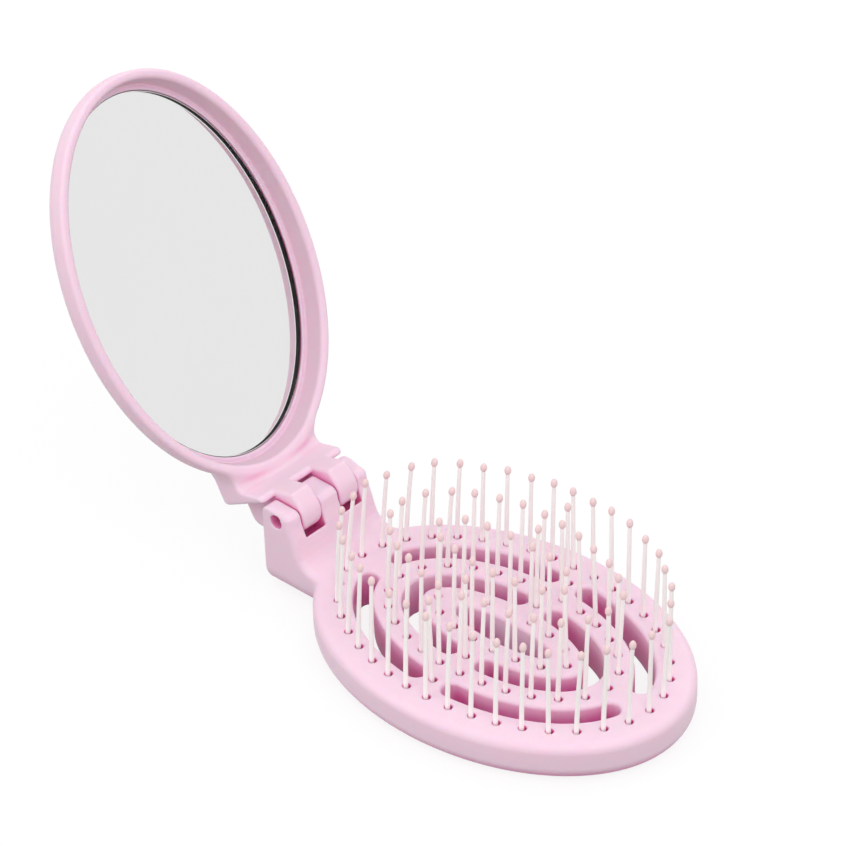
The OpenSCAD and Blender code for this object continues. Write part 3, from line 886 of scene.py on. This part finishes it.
def mixed(nodes, links, share, first, second):
    """The result of a node that mixes two colours."""
    blend = nodes.new("ShaderNodeMix")
    blend.data_type = "RGBA"
    feed(links, blend, {"Factor": share, "A": first, "B": second})
    return blend.outputs["Result"]


def ranged(nodes, links, value, taken=(0, 1), given=(0, 1), kind="LINEAR"):
    """The result of a node that carries a value over from one range to another."""
    level = nodes.new("ShaderNodeMapRange")
    level.interpolation_type = kind
    feed(links, level, {"Value": value, "From Min": taken[0], "From Max": taken[1],
                        "To Min": given[0], "To Max": given[1]})
    return level.outputs["Result"]


def texture(nodes, links, kind, scale, stretch=None, **values):
    """A texture node that is fixed to the object, and may be stretched along an axis."""
    pattern, place = nodes.new("ShaderNodeTex" + kind), nodes.new("ShaderNodeTexCoord")
    where = place.outputs["Object"]
    if stretch:
        mapping = nodes.new("ShaderNodeMapping")
        feed(links, mapping, {"Vector": where, "Scale": stretch})
        where = mapping.outputs["Vector"]
    feed(links, pattern, {"Vector": where, "Scale": scale, **values})
    return pattern


def moulded_group():
    """Shader group for moulded plastic: soft flow clouds, a fine grain and faint handling marks."""
    group = bpy.data.node_groups.get("moulded_finish")
    if group:
        return group
    group = bpy.data.node_groups.new("moulded_finish", "ShaderNodeTree")
    face = group.interface
    for name, default in (("Cloud Scale", 60.0), ("Roughness", 0.4)):
        face.new_socket(name, in_out="INPUT", socket_type="NodeSocketFloat").default_value = default
    for name in ("Clouds", "Roughness", "Height"):
        face.new_socket(name, in_out="OUTPUT", socket_type="NodeSocketFloat")
    nodes, links = group.nodes, group.links
    given, out = nodes.new("NodeGroupInput"), nodes.new("NodeGroupOutput")
    clouds = texture(nodes, links, "Noise", given.outputs["Cloud Scale"], Detail=3)
    grain = texture(nodes, links, "Noise", 4000, Detail=2)
    marks = texture(nodes, links, "Noise", 240, Detail=5, Distortion=0.6)
    spread = 0.06
    centred = worked_out(nodes, links, "SUBTRACT", marks.outputs["Fac"], 0.5)
    rough = worked_out(nodes, links, "MULTIPLY_ADD", centred, spread, given.outputs["Roughness"])
    feed(links, out, {"Clouds": clouds.outputs["Fac"], "Roughness": rough, "Height": grain.outputs["Fac"]})
    return group


def plastic(name, light, deep, roughness, scatter, grain_depth, cloud_scale=60.0, hollow=None):
    """A moulded plastic, a little cloudy, with a fine grain and, where asked, painted shade of a deeper
    colour in its hollows.
    """
    material, shader = new_material(name)
    if shader is None:
        return material
    nodes, links = material.node_tree.nodes, material.node_tree.links
    finish = nodes.new("ShaderNodeGroup")
    finish.node_tree = moulded_group()
    feed(links, finish, {"Cloud Scale": cloud_scale, "Roughness": roughness})
    colour = mixed(nodes, links, finish.outputs["Clouds"], opaque(light), opaque(deep))
    # Painted shade: hollows and gaps turn towards the hollow colour, by ambient occlusion.
    if hollow is not None:
        colour = mixed(nodes, links, hollow_shade_share(nodes, links), colour, opaque(hollow))
    bump = nodes.new("ShaderNodeBump")
    feed(links, bump, {"Strength": 0.25, "Distance": grain_depth, "Height": finish.outputs["Height"]})
    feed(links, shader, {
        "Base Color": colour,
        "Roughness": finish.outputs["Roughness"],
        "Normal": bump.outputs["Normal"],
        "IOR": 1.49,
        "Subsurface Weight": scatter,
        "Subsurface Radius": (1.0, 0.25, 0.45),
        "Subsurface Scale": 2.2 * MM})
    return material


def hollow_shade_share(nodes, links):
    """A socket that grows from 0 to 1 where a surface faces another one a few millimetres away; it sets how
    much painted shade a hollow gets.
    """
    openness = nodes.new("ShaderNodeAmbientOcclusion")
    openness.samples = 12
    openness.inputs["Distance"].default_value = 7 * MM
    return ranged(nodes, links, openness.outputs["AO"], (0.05, 0.78), (1, 0), "SMOOTHSTEP")


def shell_plastic(scene):
    """Matte pink plastic of the head and the frame, with painted shade of a deep pink in its hollows and
    gaps.
    """
    colours = scene.hairbrush_colours
    return plastic("shell_plastic", colours.shell, colours.shell_deep, 0.46, 0.5, 0.02 * MM,
                   hollow=colours.shell_painted_shade)


def pin_nylon(scene):
    """Off-white nylon of the pins."""
    colours = scene.hairbrush_colours
    return plastic("pin_nylon", colours.pins, colours.pins_deep, 0.38, 0, 0.01 * MM, cloud_scale=180.0)


def bead_coating(scene):
    """Smooth pale pink beads."""
    colours = scene.hairbrush_colours
    return plastic("bead_coating", colours.tips, colours.tips_deep, 0.32, 0, 0.01 * MM, cloud_scale=260.0)


def pin_steel(scene):
    """Drawn steel with fine lines along the pin."""
    material, shader = new_material("drawn_steel")
    if shader is None:
        return material
    nodes, links = material.node_tree.nodes, material.node_tree.links
    lines = texture(nodes, links, "Noise", 5000, stretch=(1, 0.02, 1))
    feed(links, shader, {
        "Base Color": opaque(scene.hairbrush_colours.steel),
        "Roughness": ranged(nodes, links, lines.outputs["Fac"], given=(0.22, 0.38)),
        "Metallic": 1})
    return material


def clear_glass():
    """Clear glass in front of the silvering, with a few faint smears."""
    material, shader = new_material("clear_glass")
    if shader is None:
        return material
    nodes, links = material.node_tree.nodes, material.node_tree.links
    smears = texture(nodes, links, "Noise", 90)
    feed(links, shader, {
        "Base Color": (1, 1, 1, 1),
        "Roughness": ranged(nodes, links, smears.outputs["Fac"], (0.55, 0.9), (0, 0.012)),
        "IOR": 1.52,
        "Transmission Weight": 1,
        "Specular Tint": (0.2, 0.2, 0.2, 1)})
    return material


def silvering(scene):
    """Silver on the back of the glass."""
    material, shader = new_material("silvering")
    if shader is None:
        return material
    nodes, links = material.node_tree.nodes, material.node_tree.links
    silver = scene.hairbrush_colours.silver
    age = texture(nodes, links, "Noise", 40)
    feed(links, shader, {
        "Base Color": mixed(nodes, links, age.outputs["Fac"], opaque(silver), opaque(silver, 0.985)),
        "Metallic": 1,
        "Roughness": 0.0})
    return material


def dark_edge(scene):
    """A near-black side round the cut edge of the glass, with small pale specks painted in as glints off its
    ground edge.
    """
    material, shader = new_material("dark_glass_side")
    if shader is None:
        return material
    nodes, links = material.node_tree.nodes, material.node_tree.links
    # Painted highlight: sparse pale specks in the base colour stand in for glints off the ground edge.
    glint_specks = texture(nodes, links, "Noise", 900, Detail=4)
    sparse = nodes.new("ShaderNodeValToRGB")
    dark_end, glint_start = sparse.color_ramp.elements
    dark_end.position = 0.7
    dark_end.color = opaque(scene.hairbrush_colours.edge)
    glint_start.position = 0.74
    glint_start.color = (0.6, 0.56, 0.58, 1)
    links.new(glint_specks.outputs["Fac"], sparse.inputs["Fac"])
    feed(links, shader, {
        "Base Color": sparse.outputs["Color"],
        "Roughness": 0.6,
        "Specular IOR Level": 0.1})
    return material


def pad_foam(scene):
    """Grey foam tape behind the glass."""
    material, shader = new_material("pad_foam")
    if shader is None:
        return material
    nodes, links = material.node_tree.nodes, material.node_tree.links
    foam = scene.hairbrush_colours.foam
    depth = texture(nodes, links, "Voronoi", 2500).outputs["Distance"]
    bump = nodes.new("ShaderNodeBump")
    feed(links, bump, {"Distance": 0.05 * MM, "Height": depth})
    # Painted shade: the foam is darker in the pits of its bump.
    feed(links, shader, {
        "Base Color": mixed(nodes, links, depth, opaque(foam, 0.6), opaque(foam)),
        "Normal": bump.outputs["Normal"],
        "Roughness": 0.9})
    return material


# ---- Studio ----

def seen_directly(nodes, links):
    """A socket that is 1 where the camera sees a surface, straight or by reflection or through glass."""
    paths = nodes.new("ShaderNodeLightPath")
    total = paths.outputs["Is Camera Ray"]
    for name in ("Is Glossy Ray", "Is Transmission Ray"):
        total = worked_out(nodes, links, "MAXIMUM", total, paths.outputs[name])
    return total


def add_floor(scene):
    """A pale floor that keeps the shadow, is white elsewhere and can't be seen from below."""
    colour = scene.hairbrush_colours.floor
    reach, drop, seen_share = 3.0, 0.05 * MM, 0.42
    corners = [(-reach, -reach, 0), (reach, -reach, 0), (reach, reach, 0), (-reach, reach, 0)]
    mesh = bpy.data.meshes.new("studio_floor")
    mesh.from_pydata(corners, [], [(0, 1, 2, 3)])
    material, shader = new_material("studio_floor")
    nodes, links = material.node_tree.nodes, material.node_tree.links
    seen = seen_directly(nodes, links)
    feed(links, shader, {
        "Base Color": mixed(nodes, links, seen, opaque(colour), opaque(colour, seen_share)),
        "Emission Strength": worked_out(nodes, links, "MULTIPLY", seen, scene.hairbrush_studio.floor_glow),
        "Emission Color": (1, 1, 1, 1),
        "Roughness": 1,
        "Specular IOR Level": 0})
    below, clear = nodes.new("ShaderNodeNewGeometry"), nodes.new("ShaderNodeBsdfTransparent")
    side = nodes.new("ShaderNodeMixShader")
    feed(links, side, {"Fac": below.outputs["Backfacing"],
                       1: shader.outputs["BSDF"], 2: clear.outputs["BSDF"]})
    links.new(side.outputs["Shader"], nodes["Material Output"].inputs["Surface"])
    mesh.materials.append(material)
    floor = bpy.data.objects.new("studio_floor", mesh)
    floor.location.z = -drop
    scene.collection.objects.link(floor)


def add_world(scene):
    """A white world that lights the object at its own, lower level."""
    world = bpy.data.worlds.new("white_studio")
    world.use_nodes = True
    nodes, links = world.node_tree.nodes, world.node_tree.links
    level = ranged(nodes, links, seen_directly(nodes, links), given=(scene.hairbrush_studio.ambient, 1))
    feed(links, nodes["Background"], {"Strength": level, "Color": (1, 1, 1, 1)})
    scene.world = world


def add_lamp(scene, name, place, size, power):
    """A soft square lamp that faces the middle of the brush."""
    lamp = bpy.data.lights.new(name, "AREA")
    lamp.size = size
    lamp.energy = power
    holder = bpy.data.objects.new(name, lamp)
    holder.location = place
    aim = Vector((30 * MM, 0, 30 * MM)) - Vector(place)
    holder.rotation_euler = aim.to_track_quat("-Z", "Y").to_euler()
    scene.collection.objects.link(holder)


def add_camera(scene):
    """The camera at the photograph's angle."""
    studio = scene.hairbrush_studio
    data = bpy.data.cameras.new("studio_camera")
    data.lens = studio.lens
    data.sensor_width = 36
    data.clip_end = 10
    camera = bpy.data.objects.new("studio_camera", data)
    turn = (Matrix.Rotation(studio.camera_azimuth, 4, "Z")
            @ Matrix.Rotation(math.pi / 2 - studio.camera_height, 4, "X")
            @ Matrix.Rotation(studio.camera_roll, 4, "Z"))
    camera.matrix_world = Matrix.Translation(studio.camera_place) @ turn
    scene.collection.objects.link(camera)
    scene.camera = camera


class HAIRBRUSH_OT_studio(bpy.types.Operator):
    """Adds the floor, the white world, the lamps and the camera"""
    bl_idname = "hairbrush.studio"
    bl_label = "Studio"

    def execute(self, context):
        scene = context.scene
        scene.view_settings.view_transform = "Standard"
        add_floor(scene)
        add_world(scene)
        add_lamp(scene, "key_lamp", (0.75, -0.35, 1.0), 0.9, scene.hairbrush_studio.key)
        add_lamp(scene, "fill_lamp", (-0.5, -0.8, 0.6), 0.8, scene.hairbrush_studio.fill)
        add_lamp(scene, "rim_lamp", (-0.1, 0.9, 0.9), 0.8, scene.hairbrush_studio.rim)
        add_camera(scene)
        return {"FINISHED"}


class HAIRBRUSH_PT_panel(bpy.types.Panel):
    """Lists the pieces, their sizes and their colours"""
    bl_label = "Folding Hairbrush"
    bl_idname = "HAIRBRUSH_PT_panel"
    bl_space_type = "VIEW_3D"
    bl_region_type = "UI"
    bl_category = "Hairbrush"

    def draw(self, context):
        for step in STEPS:
            self.layout.operator(step.bl_idname)
        for group, kind in GROUPS.items():
            box = self.layout.box()
            box.label(text=kind.__doc__)
            for name in kind.__annotations__:
                box.prop(getattr(context.scene, group), name)


STEPS = (HAIRBRUSH_OT_studio, HAIRBRUSH_OT_head, HAIRBRUSH_OT_cover, HAIRBRUSH_OT_pins,
         HAIRBRUSH_OT_hinge_pin, HAIRBRUSH_OT_mirror_frame, HAIRBRUSH_OT_mirror_glass)
CLASSES = (*GROUPS.values(), *STEPS, HAIRBRUSH_PT_panel)


def register():
    """Makes the sizes, the operators and the panel known to Blender."""
    for kind in CLASSES:
        bpy.utils.register_class(kind)
    for name, kind in GROUPS.items():
        setattr(bpy.types.Scene, name, PointerProperty(type=kind))


def unregister():
    """Takes them out again."""
    for name in GROUPS:
        delattr(bpy.types.Scene, name)
    for kind in reversed(CLASSES):
        bpy.utils.unregister_class(kind)


def main():
    """Builds every piece round the frame."""
    register()
    for step in (bpy.ops.hairbrush.studio, bpy.ops.hairbrush.head, bpy.ops.hairbrush.cover,
                 bpy.ops.hairbrush.pins, bpy.ops.hairbrush.hinge_pin, bpy.ops.hairbrush.mirror_frame,
                 bpy.ops.hairbrush.mirror_glass):
        step()


if __name__ == "__main__":
    main()
